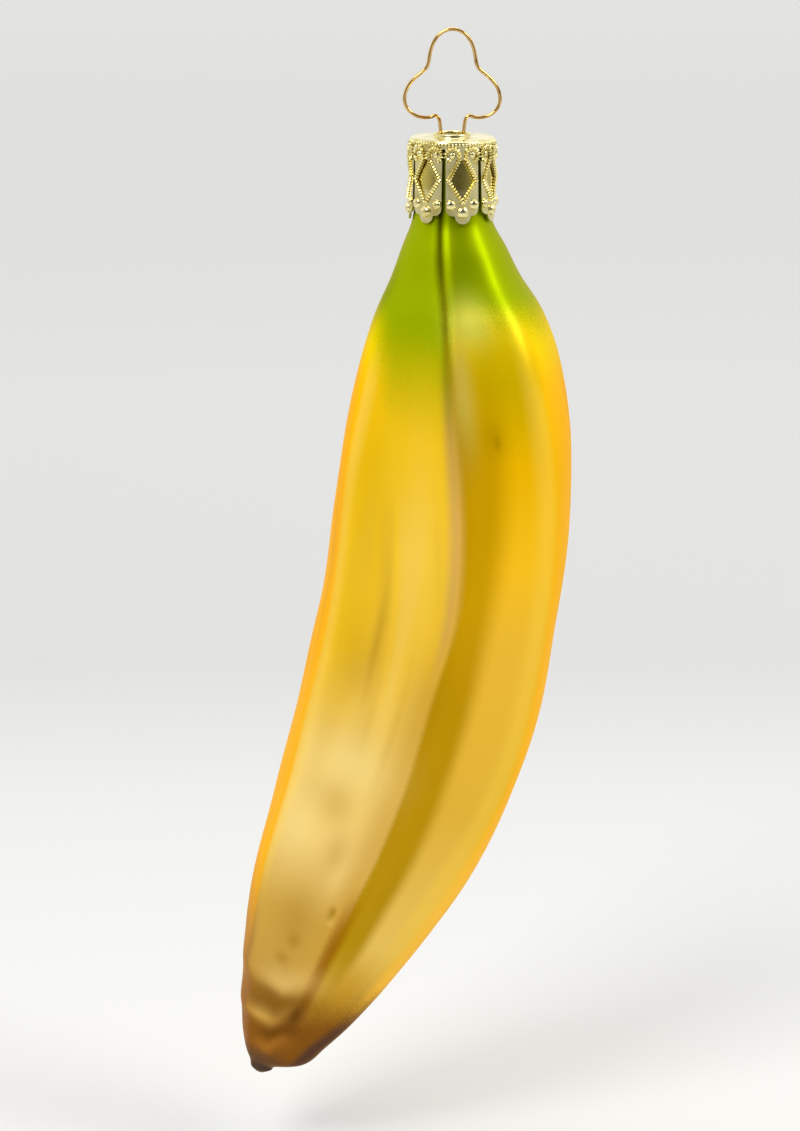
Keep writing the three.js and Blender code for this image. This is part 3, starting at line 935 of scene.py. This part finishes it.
    # Painted highlight on the shoulder of the right front face, painted shade damping the right ridge, and
    # painted shade along the left edge
    layer(spot(14, 41.4, 20, 5.0), colour(222, 216, 84), 0.85)
    layer(spot(48, 48, 8, 6), colour(212, 168, 0), 0.5)
    layer(spot(-64, 38, 14, 6), colour(104, 124, 0), 0.45)
    neck_line_at = paint.ease(down, 26, 40, -8.0, -2.0)
    from_neck_line = paint.math("ABSOLUTE", paint.math("SUBTRACT", rough_turn, neck_line_at))
    neck_line_wide = paint.ease(down, 32, 46, 11.0, 4.5)
    neck_line_tint = paint.ramp(down, [
        (30, colour(36, 36, 0)), (42, colour(70, 64, 0)),
        (50, colour(144, 112, 0)), (64, colour(190, 144, 40)),
    ])
    neck_line = both(paint.ease(from_neck_line, neck_line_wide, 0.0), paint.ease(down, 62, 40))
    layer(neck_line, neck_line_tint, 0.92)

    # The burnt tip, with painted highlights and painted shade on its folds
    tip_begin = paint.ease(turn, -20, 45, 141.0, 138.0)
    tip_full = paint.math("ADD", tip_begin, 11.0)
    layer(paint.ease(rough_down, tip_begin, tip_full), colour(132, 78, 22), 0.92)
    layer(spot(22, 141, 20, 6), colour(206, 154, 18), 0.55)
    fold_down = paint.math("ADD", down, paint.ease(turn, -30, -4, 0.0, 2.4))
    # Painted highlights along the crests of the folds and painted shade in the hollows between them
    for tint, opacity, mark in [
        (colour(228, 188, 106), 0.85, (-28, 144.3, 38, 3.4)),
        (colour(128, 84, 8), 0.7, (-28, 147.8, 46, 2.6)),
        (colour(214, 168, 80), 0.85, (-42, 150.4, 34, 2.2)),
        (colour(92, 54, 8), 0.8, (-7, 150.2, 11, 3.4)),
        (colour(104, 64, 12), 0.75, (-22, 152.9, 34, 2.0)),
        (colour(176, 116, 42), 0.7, (-26, 155.0, 40, 2.0)),
    ]:
        layer(spot(*mark, fold_down), tint, opacity)
    left_tip = both(band(turn, -118, -92, -68, -56), paint.ease(rough_down, 127, 145))
    layer(left_tip, colour(150, 106, 72), 0.75)
    dark_begin = paint.ease(turn, 8, 60, 155.0, 137.0)
    dark_end = paint.math("ADD", dark_begin, paint.ease(turn, 40, 72, 8.0, 19.0))
    dark = both(paint.ease(rough_down, dark_begin, dark_end), band(turn, -12, 12, 92, 118))
    layer(dark, colour(80, 58, 57), 0.88)
    back_tip = both(paint.ease(far_turn, 88, 122), paint.ease(rough_down, 136, 152))
    layer(back_tip, colour(112, 76, 48), 0.9)
    layer(paint.ease(rough_down, 155.0, 158.0), colour(74, 62, 60), 0.92)

    paint.put(paint.shader.inputs["Base Color"], coat)
    paint.shader.inputs["Metallic"].default_value = 0.5
    paint.shader.inputs["Specular IOR Level"].default_value = 0.04
    paint.shader.inputs["Specular Tint"].default_value = (1, 0.62, 0.08, 1)
    paint.put(paint.shader.inputs["Roughness"], paint.math("MULTIPLY_ADD", cloud, 0.08, 0.4))
    paint.bump(grain, 0.05, 0.00006)
    return paint.material


def skirt_recess(paint, place):
    """Where a point of the cap's skirt lies below its face, from 0 to 1, for the painted shade in its
    recesses.
    """
    split = paint.nodes.new("ShaderNodeSeparateXYZ")
    paint.links.new(place, split.inputs[0])
    square = paint.math("MULTIPLY", split.outputs["X"], split.outputs["X"])
    square = paint.math("MULTIPLY_ADD", split.outputs["Y"], split.outputs["Y"], square)
    flare = (skirt_radius(TAB_TIP) - skirt_radius(CAP_TOP)) / (TAB_TIP - CAP_TOP)
    face = paint.math("MULTIPLY_ADD", split.outputs["Z"], flare, skirt_radius(0) * MM)
    depth = paint.math("SUBTRACT", face, paint.math("SQRT", square))
    rim_bottom = (CAP_TOP - CAP_RIM_HEIGHT) * MM
    under_rim = paint.ease(split.outputs["Z"], rim_bottom, rim_bottom - CAP_SHEET * MM)
    return paint.math("MULTIPLY", paint.ease(depth, *RECESS_DEPTHS), under_rim)


def polished_metal(name, tint, tarnish_and_shade_tint, roughness, recess_shade=None):
    """Polished metal with faintly tarnished patches, which also give the wire painted shade, fine rubbing
    marks and, if given, painted shade: a darker tint in recesses.
    """
    paint = Paint(name)
    place = paint.object_place()
    tarnish_and_shade = paint.ease(paint.noise(place, TARNISH_AND_SHADE_SCALE, 3), 0.42, 0.72)
    coat = paint.mix(tarnish_and_shade, tint, tarnish_and_shade_tint)
    if recess_shade:
        coat = paint.mix(skirt_recess(paint, place), coat, recess_shade)
    paint.put(paint.shader.inputs["Base Color"], coat)
    paint.shader.inputs["Metallic"].default_value = 1.0
    rubbed = paint.noise(place, RUBBED_SCALE, 2)
    paint.put(paint.shader.inputs["Roughness"], paint.math("MULTIPLY_ADD", rubbed, 0.1, roughness))
    paint.bump(rubbed, 0.04, 0.00003)
    return paint.material


# The room
def make_floor():
    """A plain matt floor: pale all round the ornament, and dark only far in front as painted shade."""
    level = TIP - FLOOR_DROP
    corners = [(-1, -1), (1, -1), (1, 1), (-1, 1)]
    points = [(x * FLOOR_REACH, y * FLOOR_REACH, level) for x, y in corners]
    mesh = mesh_of("floor", points, [(0, 1, 2, 3)])
    paint = Paint("matt_paper")
    split = paint.nodes.new("ShaderNodeSeparateXYZ")
    paint.links.new(paint.object_place(), split.inputs[0])
    depth = split.outputs["Y"]
    tones = [(at, (tone, tone, FLOOR_BLUE * tone, 1)) for at, tone in FLOOR_TONES]
    paint.put(paint.shader.inputs["Base Color"], paint.ramp(depth, tones))
    paint.shader.inputs["Roughness"].default_value = 0.9
    paint.shader.inputs["Specular IOR Level"].default_value = 0.1
    mesh.materials.append(paint.material)
    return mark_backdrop(link("floor", mesh))


def make_softbox(name, place, size, power):
    """A square area light that faces the middle of the ornament."""
    lamp = bpy.data.lights.new(name, "AREA")
    lamp.energy = power
    lamp.size = size
    box = link(name, lamp)
    box.location = Vector(place)
    aim = Vector(TARGET) * MM - box.location
    box.rotation_euler = aim.to_track_quat("-Z", "Y").to_euler()
    return box


def make_room():
    """The floor, the soft lights and the light of the room round them."""
    make_floor()
    for softbox in SOFTBOXES:
        make_softbox(*softbox)
    world = bpy.context.scene.world or bpy.data.worlds.new("room")
    bpy.context.scene.world = world
    world.use_nodes = True
    nodes = world.node_tree.nodes
    ground = nodes["Background"]
    facing = nodes.new("ShaderNodeTexCoord")
    split = nodes.new("ShaderNodeSeparateXYZ")
    world.node_tree.links.new(facing.outputs["Generated"], split.inputs[0])
    bright = nodes.new("ShaderNodeMapRange")
    bright.interpolation_type = "SMOOTHSTEP"
    for socket, value in zip(list(bright.inputs)[1:5], (*ROOM_FACINGS, *ROOM_BRIGHTNESS)):
        socket.default_value = value
    world.node_tree.links.new(split.outputs["Y"], bright.inputs[0])
    world.node_tree.links.new(bright.outputs[0], ground.inputs["Strength"])
    ground.inputs["Color"].default_value = (1, 1, 1, 1)
    bpy.context.scene.view_settings.view_transform = "Standard"


def make_camera():
    """The camera, aimed at the ornament's middle from a little above it."""
    data = bpy.data.cameras.new("camera")
    data.sensor_fit = "VERTICAL"
    data.sensor_height = SENSOR
    data.lens = VIEW_DISTANCE / PIXEL_AT_TARGET / FRAME_HEIGHT * SENSOR
    camera = link("camera", data)
    back = Vector((0, -math.cos(VIEW_ELEVATION), math.sin(VIEW_ELEVATION)))
    camera.location = (Vector(TARGET) + VIEW_DISTANCE * back) * MM
    camera.rotation_euler = (math.pi / 2 - VIEW_ELEVATION, 0, 0)
    bpy.context.scene.camera = camera


def add_piece(piece, finish, node):
    """Gives a piece its finish and sets it on the one body in place of a solid."""
    piece.data.materials.clear()
    piece.data.materials.append(finish)
    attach(piece, "root")
    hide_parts(node)


make_camera()
make_room()
# The cap's pale gold, darker in its recesses and under the rim as painted shade
pale_gold = polished_metal(
    "pale_gold", colour(236, 225, 166), colour(208, 194, 118), 0.17, colour(190, 174, 90))
# The wire's deep tarnished tint is painted shade as well: it darkens the wire in patches for the dark
# reflections of polished gold
gold_wire = polished_metal("gold_wire", colour(216, 178, 110), colour(158, 112, 56), 0.03)
add_piece(make_skin(), skin_paint(), "glass_banana")
add_piece(make_cap(pale_gold), pale_gold, "stamped_cap")
add_piece(make_wire(), gold_wire, "wire_hanger")
